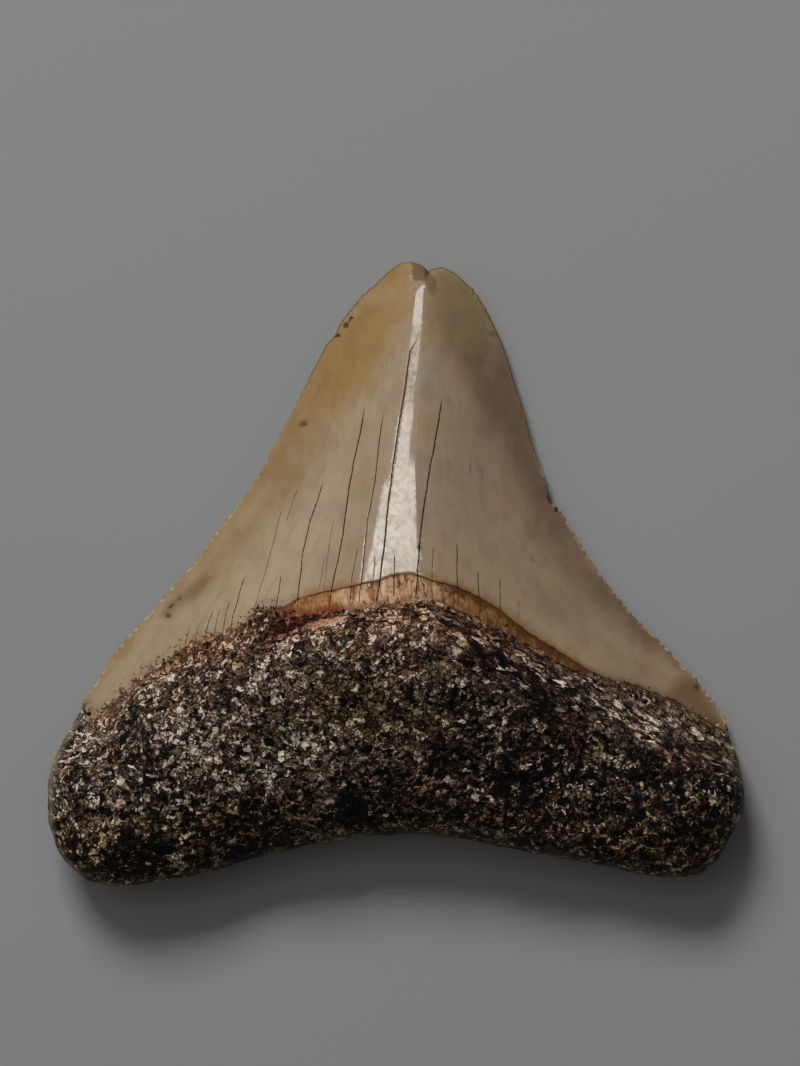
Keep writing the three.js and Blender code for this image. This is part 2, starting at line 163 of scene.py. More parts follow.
# Smoothing rounds the facets, and leaves the cutting edges and the flat that the tooth lies on
past_enamel = distance_below(places_of(shape.verts)[:, :2], ENAMEL_LINE)
soft_verts = []
for vert, past in zip(shape.verts, past_enamel):
    is_edge = vert in rim_verts and past < 0
    if not is_edge and vert.co.z > FLAT_HEIGHT * MM:
        soft_verts.append(vert)
body_verts = [vert for vert in soft_verts if vert.co.y < TIP_START * MM]
for turn in range(SMOOTHING_ROUNDS):
    verts = soft_verts if turn < TIP_ROUNDS else body_verts
    bmesh.ops.smooth_vert(shape, verts=verts, factor=0.5, use_axis_x=True, use_axis_y=True, use_axis_z=True)

# The cracks
# Hairline splits in the enamel run from its base toward the tip, opened while the tooth lay in the ground.
# Each is cut into the mesh along its route, with its middle pressed in between two banks.
CRACKS = [
    (0.13, [(-13.9, -3.6), (-13.7, -1.3), (-13.3, 2.7), (-12.2, 7.7), (-10.7, 12.1), (-10.2, 14.0)]),
    (0.08, [(-10.3, -2.2), (-9.6, 3.1), (-8.7, 9.1)]),
    (0.14, [
        (-9.5, -4.4), (-9.0, -1.6), (-7.9, 3.7), (-6.9, 10.4), (-6.0, 16.1), (-4.9, 21.1), (-4.3, 25.5),
    ]),
    (0.11, [(-6.5, -4.0), (-6.3, -0.8), (-5.3, 4.5)]),
    (0.12, [(-5.2, -3.8), (-4.9, -0.8), (-4.0, 8.0), (-3.0, 13.2), (-2.3, 19.7), (-1.4, 24.7)]),
    (0.08, [(-3.3, -1.3), (-3.0, 3.1)]),
    (0.16, [
        (-2.8, -3.9), (-2.3, -0.9), (-1.7, 3.7), (-1.0, 11.0), (-0.2, 17.1), (0.6, 22.5), (1.0, 24.8),
        (1.6, 29.0), (2.0, 31.8), (2.8, 33.1), (3.4, 34.8), (3.8, 35.8),
    ]),
    (0.12, [(-0.3, -2.8), (-0.2, 3.1)]),
    (0.16, [
        (2.8, -3.0), (3.0, -0.6), (3.3, 3.7), (3.8, 8.5), (4.6, 13.8), (5.3, 17.4), (6.1, 22.0), (6.8, 26.7),
    ]),
    (0.10, [(5.1, -3.6), (5.3, 4.5)]),
    (0.12, [(8.8, -4.2), (8.7, -1.6), (8.6, 5.1)]),
    (0.12, [(11.7, -2.8), (11.6, 0.7)]),
    (0.11, [(14.7, -4.9), (14.7, -0.2)]),
    (0.08, [(17.4, -5.8), (17.4, -3.6)]),
    (0.11, [(-17.0, -4.6), (-16.3, 0.2)]),
    (0.09, [(-20.2, -5.2), (-19.4, -2.2), (-18.6, 0.2), (-17.4, 4.8), (-16.7, 7.7), (-16.0, 10.4)]),
    (0.12, [(-23.6, -8.3), (-23.2, -5.9), (-22.2, -2.3), (-21.4, 0.2)]),
    (0.1, [(-24.6, -8.0), (-24.2, -5.6), (-23.6, -3.4)]),
    (0.1, [(-25.9, -8.8), (-25.5, -6.4), (-25.0, -4.6)]),
    (0.11, [(-27.3, -9.5), (-26.6, -6.5), (-26.0, -4.9)]),
    (0.09, [(-28.7, -9.7), (-28.2, -7.3)]),
    (0.09, [(-30.0, -10.0), (-29.4, -7.2)]),
    (0.09, [(-15.6, 7.7), (-13.9, 12.5)]),
    (0.08, [(-10.9, -1.9), (-9.9, 3.0)]),
]
WIDEST_CRACK = 0.16
CRACK_STEP = 2.0
CRACK_KINK = 0.16
KINK_RATES = (3.1, 0.9)
RIDGE_FOLD = [
    (3.0, -0.4), (3.3, 8.0), (2.7, 14.5), (2.8, 19.0), (3.3, 23.4), (3.5, 30.0), (3.9, 36.0), (4.0, 42.0),
]
CRACK_REACH = 0.6
CRACK_OVERRUN = 0.5
CRACK_SNAP = 0.015
CRACK_ZONE = 1.1
CRACK_DEPTH = 0.03
CRACK_FADE = 0.15


def kinked(route):
    """The route with a small sideways kink every other millimetre or so."""
    points = [route[0]]
    for start, end in zip(route, route[1:]):
        count = max(1, round(math.dist(start, end) / CRACK_STEP))
        for i in range(1, count + 1):
            x, y = np.array(start) + (np.array(end) - start) * i / count
            kink = CRACK_KINK * noise.noise(Vector((KINK_RATES[0] * x, KINK_RATES[1] * y, 0)))
            points.append((x + kink * (i < count), y))
    return points


def cut_beside(patch, start, end, offsets):
    """Cuts the patch near a stretch by upright planes that run beside it."""
    along = (end - start).normalized()
    sideways = Vector((along.y, -along.x, 0))
    length = (end - start).length
    near = []
    for face in patch.faces:
        away = face.calc_center_median() - start
        is_ahead = -CRACK_OVERRUN * MM < away.dot(along) < length + CRACK_OVERRUN * MM
        if is_ahead and abs(away.dot(sideways)) < CRACK_REACH * MM:
            near.append(face)
    pieces = list({item for face in near for item in (*face.verts, *face.edges, face)})
    for offset in offsets:
        place = start + sideways * offset
        pieces = bmesh.ops.bisect_plane(
            patch, geom=pieces, dist=CRACK_SNAP * MM, plane_co=place, plane_no=sideways
        )["geom"]


# The strips along the cracks are cut as a patch of their own, which is quicker, and then joined again
cracks = [(half_width, kinked(route)) for half_width, route in CRACKS]
middles = np.array([face.calc_center_median() for face in shape.faces])[:, :2] / MM
routes = [route for _, route in cracks] + [RIDGE_FOLD]
from_crack = np.min([distance_to(middles, np.array(route)) for route in routes], axis=0)
is_patch = [away < CRACK_ZONE and face.normal.z > 0 for face, away in zip(shape.faces, from_crack)]
patch = shape.copy()
rest_faces = [face for face, is_in in zip(patch.faces, is_patch) if not is_in]
patch_faces = [face for face, is_in in zip(shape.faces, is_patch) if is_in]
bmesh.ops.delete(patch, geom=rest_faces, context="FACES")
bmesh.ops.delete(shape, geom=patch_faces, context="FACES")
for half_width, route in cracks + [(None, RIDGE_FOLD)]:
    points = [Vector((x, y, 0)) * MM for x, y in route]
    for start, end in zip(points, points[1:]):
        cut_beside(patch, start, end, [-half_width * MM, 0, half_width * MM] if half_width else [0])
bmesh.ops.triangulate(patch, faces=[face for face in patch.faces if len(face.verts) > 3])
patch.to_mesh(tooth_mesh)
patch.free()
shape.from_mesh(tooth_mesh)
seam = [vert for vert in shape.verts if vert.is_boundary]
bmesh.ops.remove_doubles(shape, verts=seam, dist=MERGE_DISTANCE * MM)

# How deep each point lies in a crack, from 0 outside to 1 in the middle of a wide one
places = places_of(shape.verts)
crack = np.zeros(len(places))
for half_width, route in cracks:
    line = np.array(route)
    share = (places[:, 1] - line[0, 1]) / (line[-1, 1] - line[0, 1])
    fade = ease(1.0, 1 - CRACK_FADE, share)
    is_middle = distance_to(places[:, :2], line) < 2 * CRACK_SNAP
    crack = np.maximum(crack, is_middle * fade * half_width / WIDEST_CRACK)

# The grain of the root
# Bare root is spongy bone turned to stone. Its pores are worn open, so that pale grains a half to one
# millimetre wide stand between dark gaps. A ledge and a low lip mark where the enamel and the bourlette end.
ROOT_LINE = np.array([
    (-46.0, -18.5), (-44.8, -18.7), (-44.3, -21.5), (-40.4, -18.3), (-35.3, -13.9), (-29.1, -9.5),
    (-24.0, -8.6), (-21.6, -6.6), (-19.6, -4.8), (-16.6, -4.8), (-13.9, -5.7), (-9.4, -5.1), (-4.1, -4.5),
    (-0.4, -3.9), (4.9, -3.5), (8.0, -4.5), (11.0, -5.9), (14.6, -7.4), (18.4, -9.5), (23.0, -12.3),
    (26.7, -14.1), (33.3, -15.9), (39.9, -18.4), (46.4, -22.4), (50.0, -22.6),
]) + LINE_SHIFT
OUTER_LINE = np.array([
    (-50.0, -18.4), (-44.9, -18.6), (-38.0, -18.2), (-28.0, -16.0), (-16.0, -13.4), (0.0, -12.6),
    (16.0, -14.0), (28.0, -17.0), (38.0, -20.0), (46.5, -21.2), (50.0, -21.4),
]) + LINE_SHIFT
GRAIN_SIZE = 0.8
GRAIN_HEIGHT = 0.3
GRAIN_WARP = 0.35
WARP_RATE = 0.9
GRAIN_RADIUS = 0.62
TONE_RATE = 7.7
LUMP_SIZE = 2.6
LUMP_HEIGHT = 0.3
WOBBLE_RATE = 1.1
EDGE_WOBBLE = 0.12
RAGGED_WOBBLE = 0.3
UNDERSIDE_HEIGHT = 4.5
UNDERSIDE_RELIEF = 0.5
RIM_STEPS = (-1.2, -0.6, 0, 0.6, 1.2)
MIDDLE_SLOPE = 0.07
MIDDLE_SHIFT = 0.6
BLADE_END = -24
LEDGE_DROP = 0.2
LIP_RISE = 0.35
BEND_DROP = 0.05

normals = np.array([vert.normal for vert in shape.verts])
is_upper = (normals[:, 2] > 0) | (places[:, 2] > UNDERSIDE_HEIGHT)
map_places = places[:, :2]
past_outer = distance_below(map_places, OUTER_LINE)
wobble = np.array([noise.noise(Vector(place) * WOBBLE_RATE) for place in places])
wobble *= EDGE_WOBBLE + RAGGED_WOBBLE * ease(-14, -20, places[:, 0])
past_enamel = np.where(is_upper, distance_below(map_places, ENAMEL_LINE), past_outer) + wobble
past_root = np.where(is_upper, distance_below(map_places, ROOT_LINE), past_outer - 1)
past_root += wobble * (1 + 2 * ease(-20, -14, places[:, 0]))

# How far each point is from the cutting edges, and where it lies between them, from -1 to 1
rim_tree = kdtree.KDTree(len(rim_line))
for i, place in enumerate(rim_line):
    rim_tree.insert((place[0], place[1], 0), i)
rim_tree.balance()
from_rim = np.array([rim_tree.find((x, y, 0))[2] for x, y, _ in places])
blade_rim = rim_line[rim_line[:, 1] > BLADE_END]
blade_rim = blade_rim[blade_rim[:, 1].argsort()]
is_left = blade_rim[:, 0] < MIDDLE_SLOPE * blade_rim[:, 1] + MIDDLE_SHIFT
left, right = (
    np.mean([np.interp(places[:, 1] + step, rim[:, 1], rim[:, 0]) for step in RIM_STEPS], axis=0)
    for rim in (blade_rim[is_left], blade_rim[~is_left])
)
across = np.clip((2 * places[:, 0] - left - right) / (right - left), -1, 1)

# Lumps and grains raise the root
grain = np.zeros(len(places))
height = np.zeros(len(places))
root_share = ease(-0.15, 0.5, past_root)
for i in np.flatnonzero(root_share > 0):
    place = Vector(places[i])
    warp = noise.noise_vector(place * WARP_RATE) * GRAIN_WARP
    spots, seeds = noise.voronoi((place + warp) / GRAIN_SIZE)
    grain[i] = 1 - min(1.0, spots[0] / GRAIN_RADIUS)
    tone = noise.cell(seeds[0] * TONE_RATE)
    lumps = noise.noise(place / LUMP_SIZE) + 0.5 * noise.noise(place / LUMP_SIZE * 2.3)
    height[i] = LUMP_HEIGHT * lumps + GRAIN_HEIGHT * (grain[i] * (0.55 + 0.45 * tone) - 0.35)
height *= root_share * np.where(is_upper, 1, UNDERSIDE_RELIEF)
height *= ease(0, 0.6, places[:, 2]) * (0.4 + 0.6 * ease(0, 2.5, from_rim))
crisp = ease(-0.12, 0.12, past_enamel) - ease(-1.1, 1.1, past_enamel)
lip = ease(-0.15, 0.2, past_root) - ease(-1.2, 1.2, past_root)
height += is_upper * ease(0.3, 1.5, from_rim) * (LIP_RISE * lip - LEDGE_DROP * crisp)
height -= CRACK_DEPTH * crack * ease(0.2, -0.2, past_root)

# The enamel turns down a little to the right of the ridge, which ends the shine there
fold_line = np.array(RIDGE_FOLD)
beyond = places[:, 0] - np.interp(places[:, 1], fold_line[:, 1], fold_line[:, 0])
bend = np.clip(beyond, 0, 1.5) * ease(8, 1.5, beyond)
bend *= ease(42, 38, places[:, 1]) * ease(-0.2, -1.5, past_enamel)
height -= is_upper * BEND_DROP * bend

moved = places + normals * height[:, None]
low, high = np.array(cad_box) / MM
moved = np.clip(moved, low, high)
for vert, place in zip(shape.verts, moved):
    vert.co = Vector(place) * MM
for face in shape.faces:
    face.smooth = True
bmesh.ops.recalc_face_normals(shape, faces=shape.faces)
shape.to_mesh(tooth_mesh)
shape.free()

# Stains
# Minerals in the ground coloured the fossil unevenly, and the pale patch low on the blade's left flank is a
# painted sheen. Each stain is a colour, how strong it is, how softly it ends in millimetres, and its
# outline.
ENAMEL_COLOUR = (184, 160, 130)
ENAMEL_STAINS = [
    ((170, 134, 82), 0.9, 2.4, [
        (2.0, 46), (2.3, 38), (0.1, 35.5), (-1.2, 32), (-3.9, 26.7), (-7.3, 24.2), (-10, 22.2),
        (-13.2, 18.5), (-19, 14), (-12, 34), (-4, 46),
    ]),
    ((164, 136, 100), 0.85, 2.2, [
        (-17, 20), (-9.5, 19.2), (-13.7, 12.1), (-20.9, 4.2), (-27.3, -2.2), (-29.5, -1.5), (-24, 5.7),
        (-19, 12.1),
    ]),
    ((168, 138, 92), 0.75, 0.9, [
        (-16, 19), (-19, 13), (-24.5, 6), (-34, -5), (-44, -18), (-46, -19), (-40, -4), (-24, 14),
    ]),
    ((118, 90, 56), 0.6, 0.8, [
        (-33.8, -6.2), (-31.8, -2.8), (-27.5, 0.2), (-26.6, -0.6), (-29.5, -4.2), (-32.2, -6.6),
    ]),
    # Painted sheen: a pale, soft patch low on the left flank, standing in for the broad shine of a light
    # from the left
    ((198, 178, 146), 0.7, 3.5, [(-26, -6), (-21, 1), (-14, 9), (-8, 14), (-9, 4), (-14, -2), (-20, -5)]),
    ((148, 126, 88), 0.85, 2.6, [
        (4.2, 46), (4.4, 36), (6.5, 31.5), (9, 30.5), (16, 31), (13, 40), (8, 46),
    ]),
    ((138, 112, 92), 0.9, 3.0, [
        (8.4, 31.8), (14.1, 33.0), (18, 30), (22, 17), (29, 5), (20.6, 5), (16.5, 15), (13.5, 20.2),
        (10.6, 25),
    ]),
    ((176, 154, 130), 0.8, 2.4, [
        (4.4, 31), (8, 31), (10.5, 24), (13, 16), (13, 6), (6, 6), (6, 22), (3.5, 26),
    ]),
    ((144, 120, 96), 0.85, 2.2, [
        (20, 12), (24, 8), (30, 0), (38, -8), (36.5, -12), (30, -7), (24, -0.5), (19, 6),
    ]),
    ((162, 142, 116), 0.7, 2.0, [
        (19, 0), (25, -2.5), (32, -9), (38, -14), (35, -16), (28, -11), (20, -6),
    ]),
    ((126, 100, 68), 0.85, 1.6, [
        (28, 0), (38, -8.5), (46.5, -20), (50, -24), (44, -21.5), (38, -16.5), (41, -14.5), (36, -9.5),
    ]),
]
# Tints are multiplied onto the root
ROOT_TINTS = [
    ((255, 222, 206), 0.7, 2.4, [
        (-30, -9), (-20, -4), (-12, -5), (0, -3), (9, -4), (17, -8), (24, -12), (18, -14), (6, -11),
        (-4, -11), (-14, -10), (-24, -13), (-33, -15),
    ]),
    ((200, 90, 60), 0.85, 1.2, [
        (-18.5, -5.0), (-16.8, -4.4), (-13, -5.4), (-8.2, -5.0), (-12, -7.6), (-17.6, -8.4),
    ]),
    ((255, 206, 168), 0.7, 1.2, [
        (-43, -20), (-35, -13), (-29, -8.5), (-22, -6), (-21, -8), (-28, -11), (-35, -15), (-43, -22),
    ]),
    ((255, 196, 176), 0.6, 1.5, [(1, -27), (6, -27), (6, -32), (1, -32)]),
    ((255, 196, 176), 0.5, 1.5, [(37, -24), (42.5, -24), (42.5, -29), (37, -29)]),
    ((255, 200, 176), 0.6, 1.5, [(20, -19), (26, -19), (26, -25), (20, -25)]),
    ((232, 222, 170), 0.6, 3.0, [(-12, -15), (0, -14), (6, -20), (2, -25), (-12, -22)]),
    ((220, 208, 160), 0.7, 4.0, [
        (-50, -36), (-30, -34), (0, -31), (30, -34), (50, -30), (50, -46), (-50, -46),
    ]),
]
# Tones make the root lighter or darker: how much, how softly they end, and where
ROOT_TONES = [
    (0.16, 2.0, [(-47, -19), (-42, -20), (-36, -30), (-40, -38), (-50, -34), (-50, -24)]),
    (0.5, 0.35, [(-12.6, -7.3), (-10, -6.5), (-7.4, -5.8), (-7.6, -6.5), (-10, -7.2), (-12.4, -7.9)]),
    (0.18, 2.0, [(-36, -15), (-20, -8), (0, -6), (10, -8), (6, -24), (-10, -30), (-30, -32)]),
    (0.12, 1.5, [(-8, -5), (2, -4), (12, -6), (14, -9), (6, -10.5), (-4, -10)]),
    (0.11, 1.5, [(14, -9), (26, -14.5), (40, -19), (47, -23), (46, -26), (34, -22), (20, -17)]),
    (-0.32, 1.2, [(13.5, -28), (19.5, -28), (19, -32.3), (14, -32.3)]),
    (-0.3, 1.2, [(-8, -30.8), (-3, -30.8), (-3, -36.5), (-8.5, -36)]),
    (-0.25, 1.2, [(19, -15), (23.5, -15.5), (23, -20.8), (19, -20)]),
    (-0.3, 1.5, [(-24, -38), (-19, -38), (-19.5, -41), (-24, -41)]),
    (-0.3, 1.5, [(-39, -36), (-33, -38), (-35, -42), (-40, -40)]),
    (-0.05, 3.0, [(22, -28), (32, -27), (50, -24), (50, -40), (30, -40), (22, -34)]),
    (0.11, 3.0, [(-48, -34), (-20, -29), (0, -28), (30, -30), (50, -32), (50, -46), (-50, -46)]),
    (0.18, 0.8, [
        (-44, -21), (-35, -13.5), (-29, -9), (-22, -6.5), (-21, -9), (-28, -12.5), (-35, -17),
        (-43, -24),
    ]),
]
STAIN_WARPS = [(4.5, 0.6), (1.6, 0.3)]
STREAK_ZONE = [(6, -5), (16, -9), (27, -14.5), (48, -23.5), (48, -28), (30, -22), (14, -16), (6, -12)]
STREAK_SOFTNESS = 2.5
POLISHED = [
    (-5.2, -1.4), (-4.6, 4.5), (-3.7, 8.5), (-2.9, 11.5), (-1.7, 15.2), (-0.9, 19.1), (0.9, 23.4),
    (1.7, 27.8), (2.1, 33.5), (2.4, 35.7), (2.5, 42.0), (4.1, 42.0), (4.0, 36.0), (3.5, 30.0),
    (3.3, 23.4), (2.8, 19.1), (2.7, 15.2), (3.6, 9.1), (3.5, 5.0), (3.1, -1.0),
]
POLISH_REACH = 3


def depth_in(places, outline):
    """How deep each place lies inside an outline, negative outside."""
    corners = np.array(outline + outline[:1])
    x, y = places[:, 0], places[:, 1]
    is_in = np.zeros(len(places), bool)
    for (x0, y0), (x1, y1) in zip(corners, corners[1:]):
        if y0 != y1:
            is_in ^= ((y0 > y) != (y1 > y)) & (x < (x1 - x0) * (y - y0) / (y1 - y0) + x0)
    return np.where(is_in, 1, -1) * distance_to(places, corners)


def inside(places, outline, softness):
    """1 inside an outline and 0 outside, easing over the softness."""
    return ease(-softness, softness, depth_in(places, outline))


def light_of(shade):
    """A screen colour of 0 to 255 as the light that a shader works with."""
    parts = np.array(shade) / 255
    return np.where(parts < 0.04045, parts / 12.92, ((parts + 0.055) / 1.055) ** 2.4)


stained = map_places.copy()
for size, strength in STAIN_WARPS:
    warp = [noise.noise_vector(Vector(place) / size) for place in places]
    stained += strength * np.array(warp)[:, :2]
enamel_stain = np.tile(light_of(ENAMEL_COLOUR), (len(places), 1))
for shade, strength, softness, outline in ENAMEL_STAINS:
    share = strength * inside(stained, outline, softness)[:, None]
    enamel_stain += share * (light_of(shade) - enamel_stain)
root_stain = np.ones((len(places), 3))
for shade, strength, softness, outline in ROOT_TINTS:
    share = strength * inside(stained, outline, softness)[:, None]
    root_stain *= 1 + share * (light_of(shade) - 1)
root_tone = np.zeros(len(places))
for change, softness, outline in ROOT_TONES:
    root_tone += change * inside(stained, outline, softness)

values_of = {
    "past_enamel": past_enamel,
    "past_root": past_root,
    "across": across,
    "from_rim": from_rim,
    "crack": crack,
    "grain": grain,
    "root_tone": root_tone,
    "streaky": inside(map_places, STREAK_ZONE, STREAK_SOFTNESS),
    "polish": np.clip(depth_in(map_places, POLISHED), -POLISH_REACH, POLISH_REACH),
}
for name, values in values_of.items():
    layer = tooth_mesh.attributes.new(name, "FLOAT", "POINT")
    layer.data.foreach_set("value", np.asarray(values, np.float32))
for name, shades in {"enamel_stain": enamel_stain, "root_stain": root_stain}.items():
    layer = tooth_mesh.attributes.new(name, "FLOAT_COLOR", "POINT")
    with_alpha = np.column_stack([shades, np.ones(len(shades))])
    layer.data.foreach_set("color", with_alpha.astype(np.float32).ravel())

tooth = bpy.data.objects.new("fossil_tooth", tooth_mesh)
bpy.context.scene.collection.objects.link(tooth)
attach(tooth, "root")
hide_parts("tooth")

# The material
# Enamel polished by handling, the thin orange bourlette below it, and the dull, dark and pale root. They
# meet where the distances past the enamel's end and the bourlette's end are nought.
SPOT_DEPTH = 1000
ENAMEL_RELIEF = 0.012
STREAK_RELIEF = 0.006
ROOT_RELIEF = 0.55

material = bpy.data.materials.new("fossil")
material.use_nodes = True
tree = material.node_tree
shader = tree.nodes["Principled BSDF"]


def put(kind, sockets=None, **settings):
    """Adds a shader node, sets it up, and links or fills its sockets."""
    made = tree.nodes.new("ShaderNode" + kind)
    for name, value in settings.items():
        setattr(made, name, value)
    for key, value in (sockets or {}).items():
        if isinstance(value, bpy.types.NodeSocket):
            tree.links.new(value, made.inputs[key])
        else:
            made.inputs[key].default_value = value
    return made


def attribute(name, output="Fac"):
    """A value or colour that the mesh carries at each point."""
    return put("Attribute", attribute_name=name).outputs[output]


def maths(operation, first, second=0.0):
    """One step of arithmetic on one or two values."""
    return put("Math", {0: first, 1: second}, operation=operation).outputs[0]


def times(*parts):
    """The product of all the parts."""
    product = parts[0]
    for part in parts[1:]:
        product = maths("MULTIPLY", product, part)
    return product


def rest_of(share):
    """What a share leaves of 1."""
    return maths("SUBTRACT", 1.0, share)


def swing(value, reach, middle=0.5):
    """How far a value is above its middle, times the reach."""
    return times(maths("SUBTRACT", value, middle), reach)


def away(value, middle):
    """How far a value is from the middle, either way."""
    return maths("ABSOLUTE", maths("SUBTRACT", value, middle))


def between(value, low, high, start=0.0, end=1.0):
    """Eases from start to end as the value goes from low to high."""
    sockets = {"Value": value, "From Min": low, "From Max": high, "To Min": start, "To Max": end}
    return put("MapRange", sockets, interpolation_type="SMOOTHSTEP").outputs[0]


def cloud(place, scale, detail=2.0, roughness=0.5, stretch=None, output="Fac"):
    """Noise with lumps of about 1 / scale millimetres, drawn out where stretch is under 1."""
    if stretch:
        place = put("VectorMath", {0: place, 1: stretch}, operation="MULTIPLY").outputs[0]
    sockets = {"Vector": place, "Scale": scale, "Detail": detail, "Roughness": roughness}
    return put("TexNoise", sockets).outputs[output]


def drift(place, scale, reach, roughness=0.5):
    """The place, moved every way by noise."""
    shift = cloud(place, scale, roughness=roughness, output="Color")
    shift = put("VectorMath", {0: shift, 1: (0.5, 0.5, 0.5)}, operation="SUBTRACT").outputs[0]
    shift = put("VectorMath", {0: shift, "Scale": reach}, operation="SCALE").outputs[0]
    return put("VectorMath", {0: place, 1: shift}, operation="ADD").outputs[0]


def spot(place, middle, half_size, turn=0.0, softness=0.35):
    """1 within an ellipse in millimetres, easing to 0 at its edge. The turn is in degrees."""
    sockets = {
        "Vector": place,
        "Location": (*middle, 0),
        "Rotation": (0, 0, math.radians(turn)),
        "Scale": (*half_size, SPOT_DEPTH),
    }
    inner = put("Mapping", sockets, vector_type="TEXTURE").outputs[0]
    from_middle = put("VectorMath", {0: inner}, operation="LENGTH").outputs["Value"]
    return between(from_middle, 1 + softness, 1 - softness)


def colour(red, green, blue):
    """A screen colour of 0 to 255 as a socket takes it."""
    return [*light_of((red, green, blue)), 1]


def blend(share, first, second, way="MIX"):
    """One colour over another."""
    return put("Mix", {0: share, 6: first, 7: second}, data_type="RGBA", blend_type=way).outputs[2]


def coat(base, coats):
    """The base under coats of colour, each by its share."""
    for share, shade, *way in coats:
        base = blend(share, base, colour(*shade), *way)
    return base


def ramp(value, stops):
    """Colours strung along a value, each at its place."""
    made = put("ValToRGB", {0: value})
    points = made.color_ramp.elements
    while len(points) < len(stops):
        points.new(1)
    for point, (at, shade) in zip(points, stops):
        point.position = at
        point.color = colour(*shade)
    return made.outputs[0]


place = put("TexCoord").outputs["Object"]
place = put("VectorMath", {0: place, "Scale": 1 / MM}, operation="SCALE").outputs[0]
x_of, y_of, _ = put("SeparateXYZ", {0: place}).outputs
rim_socket = attribute("from_rim")
crack_socket = attribute("crack")
enamel_socket = attribute("past_enamel")
root_socket = attribute("past_root")

# Enamel: stained, faintly mottled, streaked from its base to the tip, orange above the bourlette, and worn
# pale in dashes along the lower edges
fan = put("CombineXYZ", {0: times(attribute("across"), 26.0), 1: times(y_of, 0.16)}).outputs[0]
streaks = cloud(fan, 1.1, detail=4, roughness=0.6)
mottle = cloud(place, 0.28, detail=3, roughness=0.55, stretch=(1, 0.6, 1))
haze = cloud(place, 0.16)
speckle = cloud(place, 1.1, detail=4, roughness=0.65)
stain_noise = cloud(place, 0.45, detail=4, roughness=0.65)
middle_share = times(between(x_of, -19.0, -12.0), between(x_of, 36.0, 24.0))
orange_share = times(
    between(enamel_socket, -1.9, -0.1),
    between(stain_noise, 0.35, 0.6, 0.1, 1.0),
    between(middle_share, 0.0, 1.0, 0.3, 0.65),
)
brown_share = times(between(enamel_socket, -0.9, -0.1), between(x_of, 4.0, 9.0, 0.0, 0.35))
dashes = times(
    between(rim_socket, 0.34, 0.1),
    between(cloud(place, 1.3), 0.45, 0.6),
    between(y_of, 22.0, 6.0, 0.15, 0.8),
)
dark_edge = times(between(rim_socket, 0.3, 0.1), between(y_of, 20.0, 36.0, 0.0, 0.6))
enamel = coat(attribute("enamel_stain", "Color"), [
    (between(mottle, 0.5, 0.66, 0.0, 0.35), (224, 214, 226), "MULTIPLY"),
    (between(mottle, 0.48, 0.34, 0.0, 0.35), (238, 224, 186), "MULTIPLY"),
    (between(haze, 0.5, 0.66, 0.0, 0.15), (200, 182, 158)),
    (between(streaks, 0.5, 0.3, 0.0, 0.16), (110, 90, 70)),
    (between(speckle, 0.45, 0.25, 0.0, 0.25), (130, 108, 82)),
    (orange_share, (168, 112, 56)),
    (brown_share, (116, 76, 30)),
    (dashes, (226, 204, 160)),
    (dark_edge, (90, 62, 36)),
])

# Chips and specks: the broken tip with its stain, the nicks along the edges and small dark pits. Each speck
# has a middle, half its size, its turn in degrees and its strength.
SPECKS = [
    ((-6.5, 36.6), (0.22, 0.5), -30, 0.9),
    ((-7.2, 35.7), (0.3, 0.45), -30, 0.8),
    ((-8.4, 34.2), (0.4, 0.3), 20, 0.9),
    ((-13.3, 21.6), (0.55, 0.4), 30, 0.65),
    ((-32.1, -4.4), (0.5, 0.25), 30, 0.7),
    ((-32.6, -5.9), (0.4, 0.3), 0, 0.75),
    ((-31.0, -3.4), (0.3, 0.2), 40, 0.5),
    ((22.0, 10.9), (0.3, 0.75), 20, 0.95),
    ((22.9, 9.4), (0.25, 0.4), 20, 0.8),
    ((13.9, 34.5), (0.7, 0.5), -20, 0.35),
    ((10.6, 15.7), (0.12, 1.3), -4, 0.4),
    ((12.2, 14.0), (0.1, 1.0), -4, 0.25),
    ((19.4, 2.3), (0.2, 0.7), 20, 0.4),
    ((3.3, 4.0), (0.3, 0.55), 0, 0.85),
    ((-24.2, -3.7), (0.16, 0.16), 0, 0.5),
    ((-11.5, 9.9), (0.2, 0.14), 0, 0.5),
    ((43.0, -16.1), (0.4, 0.5), 30, 0.6),
    ((4.4, 43.4), (0.3, 0.9), 0, 0.8),
]
near_place = drift(place, 1.8, 1.1)
chip_x, chip_y, _ = put("SeparateXYZ", {0: near_place}).outputs
chip = times(between(chip_x, 2.1, 2.4), between(chip_x, 4.6, 4.0), between(chip_y, 41.7, 42.1))
tip_stain = spot(near_place, (4.9, 41.7), (0.8, 1.9), 20, 0.3)
specks = 0.0
for middle, half_size, turn, strength in SPECKS:
    specks = maths("MAXIMUM", specks, times(spot(near_place, middle, half_size, turn, 0.6), strength))
crack_share = between(crack_socket, 0.12, 0.5)
enamel = coat(enamel, [
    (times(chip, 0.75), (116, 92, 64)),
    (times(tip_stain, 0.6), (112, 88, 62)),
    (specks, (44, 28, 14)),
    (crack_share, (48, 36, 26)),
])

# Bourlette: pale in the middle, orange on the left and olive-brown on the right, split by short dark lines,
# deep red where it meets the root and dark below the enamel's end on the right
band_noise = cloud(place, 0.8, detail=5, roughness=0.65, stretch=(1, 0.3, 0.5))
blotch = cloud(place, 0.7, detail=4, roughness=0.7)
split_noise = cloud(place, 1.0, detail=2.5, roughness=0.55, stretch=(0.75, 0.13, 0.13))
splits = between(away(split_noise, 0.5), 0.02, 0.006)
lower_share = times(
    between(root_socket, -1.3, -0.2),
    between(blotch, 0.4, 0.55, 0.4, 0.9),
    between(x_of, -4.0, -8.0, 0.4, 1.0),
)
upper_edge = maths("ADD", enamel_socket, swing(blotch, 3.0))
upper_share = times(between(upper_edge, 1.3, 0.5), between(x_of, 3.0, 8.0, 0.0, 0.8))
bourlette = ramp(band_noise, [
    (0.3, (130, 80, 44)),
    (0.42, (184, 132, 88)),
    (0.55, (214, 172, 132)),
    (0.7, (232, 202, 170)),
])
